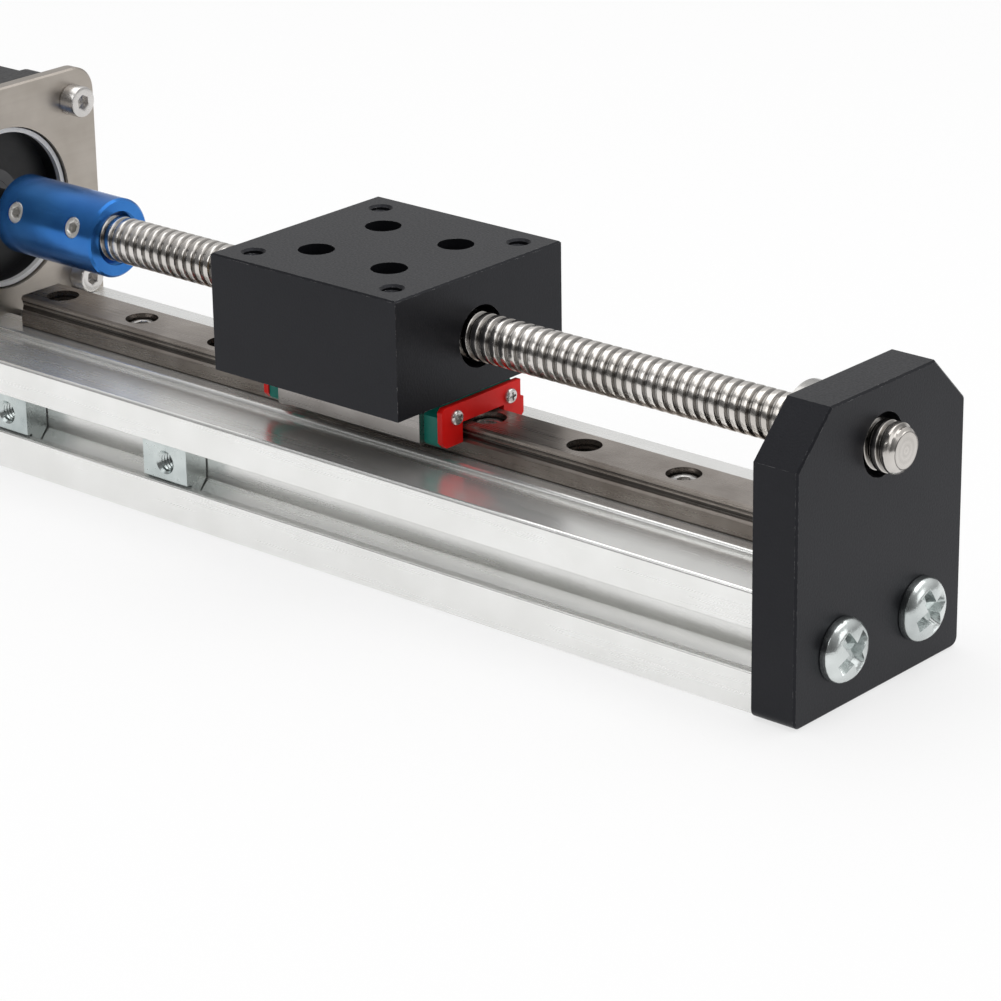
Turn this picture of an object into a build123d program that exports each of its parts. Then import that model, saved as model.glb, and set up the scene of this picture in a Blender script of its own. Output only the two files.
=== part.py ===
from build123d import *
from math import atan2, degrees
import os

# Linear slide table: an aluminium profile carries a ground steel rail, a recirculating
# slider with a black table on it, and a lead screw that a stepper motor turns.
# Frame: X along the travel with the motor at -X, Y across, +Z up.
# Origin: centre of the overall length and width, on the face the profile stands on.
# All sizes in millimetres.

# Base profile
profile_length = 228.0
profile_width = 50.0
profile_height = 25.0
profile_edge_radius = 0.8
slot_height_above_foot = 12.9
slot_opening = 8.6
slot_lip = 2.0
slot_depth = 7.0
slot_cavity_width = 12.4
slot_straight_depth = 2.6
slot_back_width = 7.4
slot_edge_radius = 0.35
seat_width = 19.4
seat_edge_radius = 1.2
top_groove_width = 4.5
top_groove_depth = 1.25
top_groove_radius = 0.6
core_hole_spacing = 25.0
core_hole_height = 12.25
core_hole_diameter = 5.0
screw_channel_depth = 6.5

# Rail
rail_width = 12.0
rail_height = 7.0
rail_end_gap = 1.0
rail_motor_gap = 9.0
rail_base_height = 3.3
rail_waist_inset = 0.45
rail_head_inset = 0.2
rail_head_height = 1.0
rail_top_chamfer = 0.4
rail_hole_pitch = 25.0
rail_first_hole = 10.8
rail_counterbore_depth = 4.0
rail_hole_count_per_screw = 2

# Slider on the rail
slider_width = 27.0
slider_steel_length = 39.2
slider_offset = 0.7
slider_height_above_seat = 12.7
slider_foot_clearance = 3.3
slider_edge_chamfer = 0.6
channel_clearance = 0.35
end_cap_length = 3.9
end_cap_width = 24.2
end_cap_top_gap = 0.6
end_cap_top_chamfer = 2.4
end_seal_thickness = 1.3
end_seal_width = 24.8
seal_top_drop = 0.9
seal_notch = 0.9
seal_notch_height = 4.6
seal_foot_chamfer = 1.2
seal_head_chamfer = 0.8
seal_side_gap = 0.3
seal_top_gap = 0.6
seal_screw_spacing = 16.4
seal_screw_drop = 3.6
ball_track_diameter = 2.0
ball_track_height = 4.8

# Table on the slider
table_length = 50.5
table_width = 50.0
table_height = 25.0
table_edge_chamfer = 0.35
table_rest_distance = 113.8
table_screw_spacing = 20.0
table_counterbore_diameter = 7.6
table_counterbore_depth = 9.7
table_corner_hole_spacing = 38.0
table_corner_hole_diameter = 4.2
table_corner_hole_depth = 12.0
table_corner_hole_chamfer = 0.5

# Lead screw, nut and end support
screw_axis_height = 49.0
screw_diameter = 10.0
screw_tip_length = 5.2
screw_tip_chamfer = 1.4
screw_engagement = 13.0
running_clearance = 0.06
table_bore_clearance = 1.5
end_hole_clearance = 1.3
nut_body_length = 30.0
nut_flange_thickness = 4.0
nut_flange_margin = 4.0
nut_seat_clearance = 0.1
nut_screw_circle_margin = 2.1
nut_screw_count = 3
bearing_diameter = 19.0
bearing_width = 5.0
bearing_inner_wall = 1.6
collar_diameter = 17.5
collar_width = 7.5
collar_standoff = 0.5
collar_standoff_wall = 1.2
collar_edge_chamfer = 0.4

# Coupling
coupling_diameter = 17.5
coupling_length = 30.0
coupling_gap = 5.2
coupling_edge_chamfer = 0.5
coupling_mouth_chamfer = 1.0
coupling_screw_inset = 6.0
coupling_screw_diameter = 4.8
coupling_screw_recess = 0.3
coupling_screw_angle = 22.0

# End plate
end_plate_overhang = 1.25
end_plate_height = 61.0
end_plate_thickness = 10.0
end_plate_chamfer = 10.0
end_plate_foot_radius = 2.0
end_plate_edge_chamfer = 0.4

# Motor plate
motor_plate_width = 55.0
motor_plate_thickness = 3.0
motor_plate_radius = 6.0
motor_plate_foot_radius = 3.0
motor_plate_bore_clearance = 0.3
motor_plate_edge_chamfer = 0.4

# Motor
motor_size = 50.0
motor_corner_chamfer = 4.6
motor_front_cap_length = 12.0
motor_stator_length = 34.0
motor_rear_cap_length = 10.0
motor_cap_radius = 5.0
motor_stator_inset = 0.4
motor_bolt_spacing = 41.0
motor_pilot_diameter = 36.0
motor_pilot_height = 2.0
motor_pilot_recess_diameter = 34.0
motor_pilot_recess_depth = 2.6
motor_shaft_diameter = 8.0
motor_shaft_projection = 21.0
motor_shaft_flat = 0.8
motor_shaft_flat_length = 15.0
motor_rotor_diameter = 27.0
motor_rotor_length = 30.0
motor_air_gap = 0.3
motor_bearing_diameter = 16.0
motor_bearing_width = 5.0
motor_rear_edge_chamfer = 0.8
connector_length = 7.0
connector_width = 18.0
connector_height = 5.0
connector_wall = 1.0
connector_pin_size = 0.64
connector_pin_count = 6
connector_pin_pitch = 2.5

# T-nuts in the side slots
nut_block_length = 12.8
nut_block_gap = 0.3
nut_block_boss_height = 7.8
nut_block_face_recess = 1.0
nut_block_thread_diameter = 4.2
nut_block_thread_chamfer = 0.5
nut_block_insets = (71.5, 22.5)

# Screws, by thread
small_head_diameter = 5.5
small_head_height = 3.0
small_shank_diameter = 3.0
small_socket = 2.5
rail_screw_length = 8.0
medium_head_diameter = 7.0
medium_head_height = 4.0
medium_shank_diameter = 4.0
medium_socket = 3.0
table_screw_length = 20.0
motor_screw_length = 10.0
large_head_diameter = 12.8
large_head_height = 3.9
large_head_rim = 1.7
large_head_bevel = 1.9
large_cross_width = 1.7
large_cross_length = 7.2
large_cross_depth = 2.0
large_shank_diameter = 5.0
large_hole_diameter = 6.6
large_screw_length = 26.0
seal_head_diameter = 3.2
seal_head_height = 0.9
seal_shank_diameter = 1.6
nut_head_diameter = 3.6
nut_head_height = 2.0
nut_shank_diameter = 2.0
nut_screw_length = 9.0
tie_head_diameter = 5.0
tie_head_height = 2.2
tie_shank_diameter = 2.6
tie_screw_length = 6.0
screw_hole_clearance = 0.1
head_clearance = 0.85
socket_depth_share = 0.5

# Places along X, worked out from the motor's rear face to the screw's tip
motor_length = motor_rear_cap_length + motor_stator_length + motor_front_cap_length
overall_length = (
    motor_length + motor_plate_thickness + profile_length + end_plate_thickness + screw_tip_length
)
x_motor_rear = -overall_length / 2
x_stator_rear = x_motor_rear + motor_rear_cap_length
x_stator_front = x_stator_rear + motor_stator_length
x_motor_face = x_stator_front + motor_front_cap_length
x_profile_start = x_motor_face + motor_plate_thickness
x_profile_end = x_profile_start + profile_length
x_end_plate_face = x_profile_end + end_plate_thickness
x_screw_tip = x_end_plate_face + screw_tip_length
x_table = x_profile_end - table_rest_distance
x_table_rear = x_table - table_length / 2
x_slider = x_table + slider_offset
rail_length = profile_length - rail_end_gap - rail_motor_gap
x_rail_end = x_profile_end - rail_end_gap
x_coupling_start = x_profile_start + coupling_gap
x_coupling_end = x_coupling_start + coupling_length
x_shaft_end = x_motor_face + motor_shaft_projection
x_screw_start = x_coupling_end - screw_engagement
x_collar_end = x_profile_end - collar_standoff

# Heights
z_seat = profile_height
z_rail_top = z_seat + rail_height
z_slider_foot = z_seat + slider_foot_clearance
z_table_foot = z_seat + slider_height_above_seat
z_table_top = z_table_foot + table_height
z_axis = screw_axis_height

# Sizes shared by pieces that fit each other
nut_body_diameter = screw_diameter + 2 * (table_bore_clearance - nut_seat_clearance)
nut_flange_diameter = nut_body_diameter + 2 * nut_flange_margin
ball_row_offset = rail_width / 2 + channel_clearance
rail_hole_count = 1 + int((rail_length - rail_first_hole - small_head_diameter) // rail_hole_pitch)
rail_hole_xs = [x_rail_end - rail_first_hole - rail_hole_pitch * i for i in range(rail_hole_count)]
rail_counterbore_diameter = small_head_diameter + 2 * head_clearance

os.makedirs("parts", exist_ok=True)


def save(piece, name):
    """Label a finished piece and write it to its own file."""
    piece.label = name
    export_step(piece, f"parts/{name}.step")


def socket_screws(seat, points, head_d, head_h, shank_d, shank_l, socket):
    """Socket head cap screws: heads stand on the seat plane's outer side, shanks go in."""
    with BuildPart() as screws:
        with BuildSketch(seat):
            with Locations(*points):
                Circle(head_d / 2)
        extrude(amount=head_h)
        with BuildSketch(seat):
            with Locations(*points):
                Circle(shank_d / 2)
        extrude(amount=-shank_l)
        with BuildSketch(seat.offset(head_h)):
            with Locations(*points):
                RegularPolygon(socket / 2, 6, major_radius=False)
        extrude(amount=-head_h * socket_depth_share, mode=Mode.SUBTRACT)
    return screws.part


def pan_screws(seat, points):
    """Large pan head screws with a cross recess, heads on the seat plane's outer side."""
    bevel_angle = degrees(atan2(large_head_bevel, large_head_height - large_head_rim))
    with BuildPart() as screws:
        with BuildSketch(seat):
            with Locations(*points):
                Circle(large_head_diameter / 2)
        extrude(amount=large_head_rim)
        with BuildSketch(seat.offset(large_head_rim)):
            with Locations(*points):
                Circle(large_head_diameter / 2)
        extrude(amount=large_head_height - large_head_rim, taper=bevel_angle)
        with BuildSketch(seat):
            with Locations(*points):
                Circle(large_shank_diameter / 2 - screw_hole_clearance / 2)
        extrude(amount=-large_screw_length)
        with BuildSketch(seat.offset(large_head_height)):
            with Locations(*points):
                Rectangle(large_cross_length, large_cross_width)
                Rectangle(large_cross_width, large_cross_length)
        extrude(amount=-large_cross_depth, mode=Mode.SUBTRACT)
    return screws.part


def grub_screw(x, angle, inner_radius, outer_radius, diameter):
    """One radial grub screw on the screw axis, at an angle above the -Y direction."""
    with BuildPart() as grub:
        radial = Plane(
            origin=(x, 0, z_axis),
            x_dir=(1, 0, 0),
            z_dir=Vector(0, -1, 0).rotate(Axis.X, -angle),
        )
        with BuildSketch(radial.offset(inner_radius)):
            Circle(diameter / 2)
        extrude(amount=outer_radius - inner_radius)
        with BuildSketch(radial.offset(outer_radius)):
            RegularPolygon(diameter / 4, 6, major_radius=False)
        extrude(amount=-(outer_radius - inner_radius) * socket_depth_share, mode=Mode.SUBTRACT)
    return grub.part


def bearing_rings(x_start, width, inner_d, outer_d):
    """Outer and inner ring of a shielded ball bearing, the shields one with the outer ring."""
    split = inner_d / 2 + bearing_inner_wall
    rings = []
    for low, high in ((split + running_clearance, outer_d / 2), (inner_d / 2, split)):
        with BuildPart() as ring:
            with BuildSketch(Plane.YZ.offset(x_start)):
                with Locations((0, z_axis)):
                    Circle(high)
                    Circle(low, mode=Mode.SUBTRACT)
            extrude(amount=width)
        rings.append(ring.part)
    return rings


# Base profile: T-slots in both sides, a raised rail seat with a channel for its screws, cored ends
core_points = [(side * core_hole_spacing / 2, core_hole_height) for side in (-1, 1)]
half_width = profile_width / 2
slot_outline = [
    (half_width + slot_lip, slot_opening / 2),
    (half_width - slot_lip, slot_opening / 2),
    (half_width - slot_lip, slot_cavity_width / 2),
    (half_width - slot_lip - slot_straight_depth, slot_cavity_width / 2),
    (half_width - slot_depth, slot_back_width / 2),
]
slot_loop = slot_outline + [(y, -z) for y, z in reversed(slot_outline)]
with BuildPart() as base_extrusion:
    with BuildSketch(Plane.YZ.offset(x_profile_start)) as section:
        with Locations((0, profile_height / 2)):
            Rectangle(profile_width, profile_height)
        fillet(section.vertices(), profile_edge_radius)
        for side in (-1, 1):
            with BuildLine():
                Polyline(*[(side * y, slot_height_above_foot + z) for y, z in slot_loop], close=True)
            make_face(mode=Mode.SUBTRACT)
            with Locations((side * (seat_width + top_groove_width) / 2, profile_height)):
                Rectangle(top_groove_width, 2 * top_groove_depth, mode=Mode.SUBTRACT)
        mouth_corners = section.vertices().filter_by(
            lambda v: abs(abs(v.X) - half_width) < 0.01 and abs(v.Y - slot_height_above_foot) < slot_opening
        )
        fillet(mouth_corners, slot_edge_radius)
        top_corners = section.vertices().group_by(Axis.Y)[-1]
        fillet(top_corners.filter_by(lambda v: abs(v.X) < seat_width / 2 + 0.01), seat_edge_radius)
        top_corners = section.vertices().group_by(Axis.Y)[-1]
        groove_edge = seat_width / 2 + top_groove_width
        fillet(top_corners.filter_by(lambda v: abs(abs(v.X) - groove_edge) < 0.01), top_groove_radius)
        with Locations(*core_points):
            Circle(core_hole_diameter / 2, mode=Mode.SUBTRACT)
        with Locations((0, profile_height)):
            channel_width = small_shank_diameter + screw_hole_clearance
            Rectangle(channel_width, 2 * screw_channel_depth, mode=Mode.SUBTRACT)
    extrude(amount=profile_length)
save(base_extrusion.part, "base_extrusion")

# Rail: full-width foot, waist with a round ball track, bevelled head
half_rail = rail_width / 2
half_waist = half_rail - rail_waist_inset
half_head = half_rail - rail_head_inset
with BuildPart() as linear_rail:
    with BuildSketch(Plane.YZ.offset(x_rail_end - rail_length)):
        with BuildLine():
            Polyline(
                (0, z_seat),
                (half_rail, z_seat),
                (half_rail, z_seat + rail_base_height),
                (half_waist, z_seat + rail_base_height + rail_waist_inset),
                (half_waist, z_rail_top - rail_head_height - rail_head_inset),
                (half_head, z_rail_top - rail_head_height),
                (half_head, z_rail_top - rail_top_chamfer),
                (half_head - rail_top_chamfer, z_rail_top),
                (0, z_rail_top),
            )
            mirror(about=Plane.YZ)
        make_face()
        with Locations(*[(side * ball_row_offset, z_seat + ball_track_height) for side in (-1, 1)]):
            Circle(ball_track_diameter / 2, mode=Mode.SUBTRACT)
    extrude(amount=rail_length)
    with BuildSketch(Plane.XY.offset(z_rail_top)):
        with Locations(*[(x, 0) for x in rail_hole_xs]):
            Circle(rail_counterbore_diameter / 2)
    extrude(amount=-rail_counterbore_depth, mode=Mode.SUBTRACT)
    with BuildSketch(Plane.XY.offset(z_rail_top)):
        with Locations(*[(x, 0) for x in rail_hole_xs]):
            Circle(small_shank_diameter / 2 + screw_hole_clearance)
    extrude(amount=-rail_height, mode=Mode.SUBTRACT)
save(linear_rail.part, "linear_rail")

rail_screws = socket_screws(
    Plane.XY.offset(z_rail_top - rail_counterbore_depth),
    [(x, 0) for x in rail_hole_xs[1::rail_hole_count_per_screw]],
    small_head_diameter,
    small_head_height,
    small_shank_diameter,
    rail_screw_length,
    small_socket,
)
save(rail_screws, "rail_screws")


def slider_section(x_start, length, width, top_gap, top_chamfer):
    """Slider piece astride the rail, with a channel wider than the rail and a gap to the table."""
    channel = rail_width / 2 + channel_clearance
    with BuildPart() as piece:
        with BuildSketch(Plane.YZ.offset(x_start)) as outline:
            with Locations((0, (z_slider_foot + z_table_foot - top_gap) / 2)):
                Rectangle(width, z_table_foot - top_gap - z_slider_foot)
            chamfer(outline.vertices().group_by(Axis.Y)[0], slider_edge_chamfer)
            chamfer(outline.vertices().group_by(Axis.Y)[-1], top_chamfer)
            channel_top = z_rail_top + channel_clearance
            channel_height = channel_top - z_slider_foot + slider_edge_chamfer
            with Locations((0, channel_top - channel_height / 2)):
                Rectangle(2 * channel, channel_height, mode=Mode.SUBTRACT)
        extrude(amount=length)
    return piece.part


# Slider: steel body, moulded end caps, wiping end seals
x_steel_start = x_slider - slider_steel_length / 2
x_steel_end = x_slider + slider_steel_length / 2
table_screw_points = [
    (x_table + sx * table_screw_spacing / 2, sy * table_screw_spacing / 2) for sx in (-1, 1) for sy in (-1, 1)
]
z_block_thread = z_table_top - table_counterbore_depth - table_screw_length
with BuildPart() as slider_block:
    add(slider_section(x_steel_start, slider_steel_length, slider_width, 0, slider_edge_chamfer))
    with BuildSketch(Plane.YZ.offset(x_steel_start)):
        with Locations(*[(side * ball_row_offset, z_seat + ball_track_height) for side in (-1, 1)]):
            Circle(ball_track_diameter / 2)
    extrude(amount=slider_steel_length, mode=Mode.SUBTRACT)
    with BuildSketch(Plane.XY.offset(z_table_foot)):
        with Locations(*table_screw_points):
            Circle(medium_shank_diameter / 2 + screw_hole_clearance / 2)
    extrude(amount=z_block_thread - z_table_foot - screw_hole_clearance, mode=Mode.SUBTRACT)
save(slider_block.part, "slider_block")

cap_starts = {"rear_end_cap": x_steel_start - end_cap_length, "front_end_cap": x_steel_end}
seal_starts = {
    "rear_end_seal": x_steel_start - end_cap_length - end_seal_thickness,
    "front_end_seal": x_steel_end + end_cap_length,
}
z_seal_screw = z_table_foot - seal_screw_drop
seal_screw_points = [(side * seal_screw_spacing / 2, z_seal_screw) for side in (-1, 1)]
for name, x_start in cap_starts.items():
    with BuildPart() as end_cap:
        add(slider_section(x_start, end_cap_length, end_cap_width, end_cap_top_gap, end_cap_top_chamfer))
        with BuildSketch(Plane.YZ.offset(x_start)):
            with Locations(*seal_screw_points):
                Circle(seal_shank_diameter / 2 + screw_hole_clearance / 2)
        extrude(amount=end_cap_length, mode=Mode.SUBTRACT)
    save(end_cap.part, name)
seal_side = end_seal_width / 2
seal_channel = rail_width / 2 + seal_side_gap
z_seal_top = z_table_foot - seal_top_drop
z_seal_notch = z_slider_foot + seal_notch_height
z_seal_channel = z_rail_top + seal_top_gap
for name, x_start in seal_starts.items():
    notch_side = 1 if x_start > x_slider else -1
    with BuildPart() as end_seal:
        with BuildSketch(Plane.YZ.offset(x_start)):
            with BuildLine():
                Polyline(
                    (0, z_seal_top),
                    (seal_side - seal_head_chamfer, z_seal_top),
                    (seal_side, z_seal_top - seal_head_chamfer),
                    (seal_side, z_slider_foot + seal_foot_chamfer),
                    (seal_side - seal_foot_chamfer, z_slider_foot),
                    (seal_channel, z_slider_foot),
                    (seal_channel, z_seal_channel),
                    (0, z_seal_channel),
                )
                mirror(about=Plane.YZ)
            make_face()
            with Locations((notch_side * seal_side, (z_seal_notch + z_table_foot) / 2)):
                Rectangle(2 * seal_notch, z_table_foot - z_seal_notch, mode=Mode.SUBTRACT)
        extrude(amount=end_seal_thickness)
        with BuildSketch(Plane.YZ.offset(x_start)):
            with Locations(*seal_screw_points):
                Circle(seal_shank_diameter / 2 + screw_hole_clearance / 2)
        extrude(amount=end_seal_thickness, mode=Mode.SUBTRACT)
    save(end_seal.part, name)

seal_screw_length = end_seal_thickness + end_cap_length
with BuildPart() as seal_screws:
    for seat in (
        Plane.YZ.offset(x_steel_end + seal_screw_length),
        Plane(origin=(x_steel_start - seal_screw_length, 0, 0), x_dir=(0, -1, 0), z_dir=(-1, 0, 0)),
    ):
        with BuildSketch(seat):
            with Locations(*seal_screw_points):
                Circle(seal_head_diameter / 2)
        extrude(amount=seal_head_height)
        with BuildSketch(seat):
            with Locations(*seal_screw_points):
                Circle(seal_shank_diameter / 2)
        extrude(amount=-seal_screw_length)
save(seal_screws.part, "seal_screws")

# Table: counterbored screw holes to the slider, tapped corner holes, one bore for screw and nut
corner_points = [
    (x_table + sx * table_corner_hole_spacing / 2, sy * table_corner_hole_spacing / 2)
    for sx in (-1, 1)
    for sy in (-1, 1)
]
with BuildPart() as carriage_table:
    with BuildSketch(Plane.XY.offset(z_table_foot)):
        with Locations((x_table, 0)):
            Rectangle(table_length, table_width)
    extrude(amount=table_height)
    chamfer(carriage_table.edges().group_by(Axis.Z)[-1], table_edge_chamfer)
    with BuildSketch(Plane.YZ.offset(x_table_rear)):
        with Locations((0, z_axis)):
            Circle(screw_diameter / 2 + table_bore_clearance)
    extrude(amount=table_length, mode=Mode.SUBTRACT)
    with BuildSketch(Plane.XY.offset(z_table_top)):
        with Locations(*table_screw_points):
            Circle(table_counterbore_diameter / 2)
    extrude(amount=-table_counterbore_depth, mode=Mode.SUBTRACT)
    with BuildSketch(Plane.XY.offset(z_table_top)):
        with Locations(*table_screw_points):
            Circle(medium_shank_diameter / 2 + 2 * screw_hole_clearance)
    extrude(amount=-table_height, mode=Mode.SUBTRACT)
    with BuildSketch(Plane.XY.offset(z_table_top)):
        with Locations(*corner_points):
            Circle(table_corner_hole_diameter / 2)
    extrude(amount=-table_corner_hole_depth, mode=Mode.SUBTRACT)
    corner_rims = carriage_table.edges().filter_by(GeomType.CIRCLE).filter_by(
        lambda edge: abs(edge.center().Z - z_table_top) < 0.01
        and abs(edge.radius - table_corner_hole_diameter / 2) < 0.01
    )
    chamfer(corner_rims, table_corner_hole_chamfer)
    nut_circle = nut_body_diameter / 2 + nut_screw_circle_margin
    with BuildSketch(Plane.YZ.offset(x_table_rear)):
        with Locations((0, z_axis)):
            with PolarLocations(nut_circle, nut_screw_count, start_angle=90):
                Circle(nut_shank_diameter / 2 + screw_hole_clearance / 2)
    extrude(amount=nut_screw_length, mode=Mode.SUBTRACT)
save(carriage_table.part, "carriage_table")

table_screws = socket_screws(
    Plane.XY.offset(z_table_top - table_counterbore_depth),
    table_screw_points,
    medium_head_diameter,
    medium_head_height,
    medium_shank_diameter,
    table_screw_length,
    medium_socket,
)
save(table_screws, "table_screws")

# Lead nut: flanged bush screwed to the table's rear face
x_nut_flange = x_table_rear - nut_flange_thickness
with BuildPart() as lead_nut:
    with BuildSketch(Plane.YZ.offset(x_nut_flange)):
        with Locations((0, z_axis)):
            Circle(nut_flange_diameter / 2)
    extrude(amount=nut_flange_thickness)
    with BuildSketch(Plane.YZ.offset(x_table_rear)):
        with Locations((0, z_axis)):
            Circle(nut_body_diameter / 2)
    extrude(amount=nut_body_length)
    with BuildSketch(Plane.YZ.offset(x_nut_flange)):
        with Locations((0, z_axis)):
            Circle(screw_diameter / 2 + running_clearance)
    extrude(amount=nut_flange_thickness + nut_body_length, mode=Mode.SUBTRACT)
    with BuildSketch(Plane.YZ.offset(x_nut_flange)):
        with Locations((0, z_axis)):
            with PolarLocations(nut_circle, nut_screw_count, start_angle=90):
                Circle(nut_shank_diameter / 2 + screw_hole_clearance / 2)
    extrude(amount=nut_flange_thickness, mode=Mode.SUBTRACT)
save(lead_nut.part, "lead_nut")

rear_facing_nut = Plane(origin=(x_nut_flange, 0, z_axis), x_dir=(0, -1, 0), z_dir=(-1, 0, 0))
with BuildPart() as lead_nut_screws:
    with BuildSketch(rear_facing_nut):
        with PolarLocations(nut_circle, nut_screw_count, start_angle=90):
            Circle(nut_head_diameter / 2)
    extrude(amount=nut_head_height)
    with BuildSketch(rear_facing_nut):
        with PolarLocations(nut_circle, nut_screw_count, start_angle=90):
            Circle(nut_shank_diameter / 2)
    extrude(amount=-nut_screw_length)
    with BuildSketch(rear_facing_nut.offset(nut_head_height)):
        with PolarLocations(nut_circle, nut_screw_count, start_angle=90):
            RegularPolygon(nut_head_diameter / 4, 6, major_radius=False)
    extrude(amount=-nut_head_height * socket_depth_share, mode=Mode.SUBTRACT)
save(lead_nut_screws.part, "lead_nut_screws")

# Lead screw: thread outline as a plain rod, chamfered at the free end
with BuildPart() as lead_screw:
    with BuildSketch(Plane.YZ.offset(x_screw_start)):
        with Locations((0, z_axis)):
            Circle(screw_diameter / 2)
    extrude(amount=x_screw_tip - x_screw_start)
    chamfer(lead_screw.edges().group_by(Axis.X)[-1], screw_tip_chamfer)
save(lead_screw.part, "lead_screw")

# Free end of the screw: ball bearing in the end plate, clamping collar behind it
end_rings = bearing_rings(x_profile_end, bearing_width, screw_diameter, bearing_diameter)
save(end_rings[0], "end_bearing_outer_ring")
save(end_rings[1], "end_bearing_inner_ring")

x_collar_start = x_collar_end - collar_width
with BuildPart() as end_collar:
    with BuildSketch(Plane.YZ.offset(x_collar_start)):
        with Locations((0, z_axis)):
            Circle(collar_diameter / 2)
    extrude(amount=collar_width)
    chamfer(end_collar.edges().filter_by(GeomType.CIRCLE), collar_edge_chamfer)
    with BuildSketch(Plane.YZ.offset(x_collar_end)):
        with Locations((0, z_axis)):
            Circle(screw_diameter / 2 + collar_standoff_wall)
    extrude(amount=collar_standoff)
    with BuildSketch(Plane.YZ.offset(x_collar_start)):
        with Locations((0, z_axis)):
            Circle(screw_diameter / 2)
    extrude(amount=collar_width + collar_standoff, mode=Mode.SUBTRACT)
    collar_grub_hole = Plane(
        origin=(x_collar_start + collar_width / 2, 0, z_axis), x_dir=(1, 0, 0), z_dir=(0, 1, 0)
    )
    with BuildSketch(collar_grub_hole):
        Circle(coupling_screw_diameter / 2)
    extrude(amount=collar_diameter / 2, mode=Mode.SUBTRACT)
save(end_collar.part, "end_collar")
collar_grub = grub_screw(
    x_collar_start + collar_width / 2,
    180,
    screw_diameter / 2,
    collar_diameter / 2 - coupling_screw_recess,
    coupling_screw_diameter,
)
save(collar_grub, "collar_grub_screw")

# Coupling: stepped bore for screw and motor shaft, a grub screw at each end
coupling_middle = (x_shaft_end + x_screw_start) / 2
grub_spots = (
    (x_coupling_start + coupling_screw_inset, motor_shaft_diameter),
    (x_coupling_end - coupling_screw_inset, screw_diameter),
)
with BuildPart() as shaft_coupling:
    with BuildSketch(Plane.YZ.offset(x_coupling_start)):
        with Locations((0, z_axis)):
            Circle(coupling_diameter / 2)
    extrude(amount=coupling_length)
    chamfer(shaft_coupling.edges().filter_by(GeomType.CIRCLE), coupling_edge_chamfer)
    with BuildSketch(Plane.YZ.offset(coupling_middle)):
        with Locations((0, z_axis)):
            Circle(screw_diameter / 2)
    extrude(amount=x_coupling_end - coupling_middle, mode=Mode.SUBTRACT)
    with BuildSketch(Plane.YZ.offset(x_coupling_start)):
        with Locations((0, z_axis)):
            Circle(motor_shaft_diameter / 2)
    extrude(amount=coupling_middle - x_coupling_start, mode=Mode.SUBTRACT)
    mouth_rim = shaft_coupling.edges().filter_by(GeomType.CIRCLE).filter_by(
        lambda edge: abs(edge.center().X - x_coupling_end) < 0.01 and edge.radius < screw_diameter / 2 + 0.01
    )
    chamfer(mouth_rim, coupling_mouth_chamfer)
    outward = Vector(0, -1, 0).rotate(Axis.X, -coupling_screw_angle)
    for x, bore in grub_spots:
        with BuildSketch(Plane(origin=(x, 0, z_axis), x_dir=(1, 0, 0), z_dir=outward)):
            Circle(coupling_screw_diameter / 2)
        extrude(amount=coupling_diameter / 2, mode=Mode.SUBTRACT)
save(shaft_coupling.part, "shaft_coupling")
with BuildPart() as coupling_grub_screws:
    for x, bore in grub_spots:
        reach = coupling_diameter / 2 - coupling_screw_recess
        add(grub_screw(x, coupling_screw_angle, bore / 2, reach, coupling_screw_diameter))
save(coupling_grub_screws.part, "coupling_grub_screws")

# End plate: chamfered top corners, clearance hole for the screw, bearing pocket inside
end_plate_width = profile_width + 2 * end_plate_overhang
with BuildPart() as end_plate:
    with BuildSketch(Plane.YZ.offset(x_profile_end)) as face:
        with Locations((0, end_plate_height / 2)):
            Rectangle(end_plate_width, end_plate_height)
        chamfer(face.vertices().group_by(Axis.Y)[-1], end_plate_chamfer)
        fillet(face.vertices().group_by(Axis.Y)[0], end_plate_foot_radius)
    extrude(amount=end_plate_thickness)
    chamfer(end_plate.faces().sort_by(Axis.X)[-1].edges(), end_plate_edge_chamfer)
    with BuildSketch(Plane.YZ.offset(x_profile_end)):
        with Locations((0, z_axis)):
            Circle(screw_diameter / 2 + end_hole_clearance)
        with Locations(*core_points):
            Circle(large_hole_diameter / 2)
    extrude(amount=end_plate_thickness, mode=Mode.SUBTRACT)
    with BuildSketch(Plane.YZ.offset(x_profile_end)):
        with Locations((0, z_axis)):
            Circle(bearing_diameter / 2)
    extrude(amount=bearing_width, mode=Mode.SUBTRACT)
save(end_plate.part, "end_plate")
save(pan_screws(Plane.YZ.offset(x_end_plate_face), core_points), "end_plate_screws")

# Motor plate: rounded corners, pilot bore, four motor screws
motor_bolts = motor_bolt_spacing / 2
z_plate_top = z_axis + motor_plate_width / 2
motor_bolt_points = [(sy * motor_bolts, z_axis + sz * motor_bolts) for sy in (-1, 1) for sz in (-1, 1)]
with BuildPart() as motor_plate:
    with BuildSketch(Plane.YZ.offset(x_motor_face)) as face:
        with Locations((0, z_plate_top / 2)):
            Rectangle(motor_plate_width, z_plate_top)
        fillet(face.vertices().group_by(Axis.Y)[-1], motor_plate_radius)
        fillet(face.vertices().group_by(Axis.Y)[0], motor_plate_foot_radius)
    extrude(amount=motor_plate_thickness)
    chamfer(motor_plate.faces().sort_by(Axis.X)[-1].edges(), motor_plate_edge_chamfer)
    with BuildSketch(Plane.YZ.offset(x_motor_face)):
        with Locations((0, z_axis)):
            Circle(motor_pilot_diameter / 2 + motor_plate_bore_clearance)
        with Locations(*motor_bolt_points):
            Circle(medium_shank_diameter / 2 + 2 * screw_hole_clearance)
        with Locations(*core_points):
            Circle(large_hole_diameter / 2)
    extrude(amount=motor_plate_thickness, mode=Mode.SUBTRACT)
save(motor_plate.part, "motor_plate")

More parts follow.
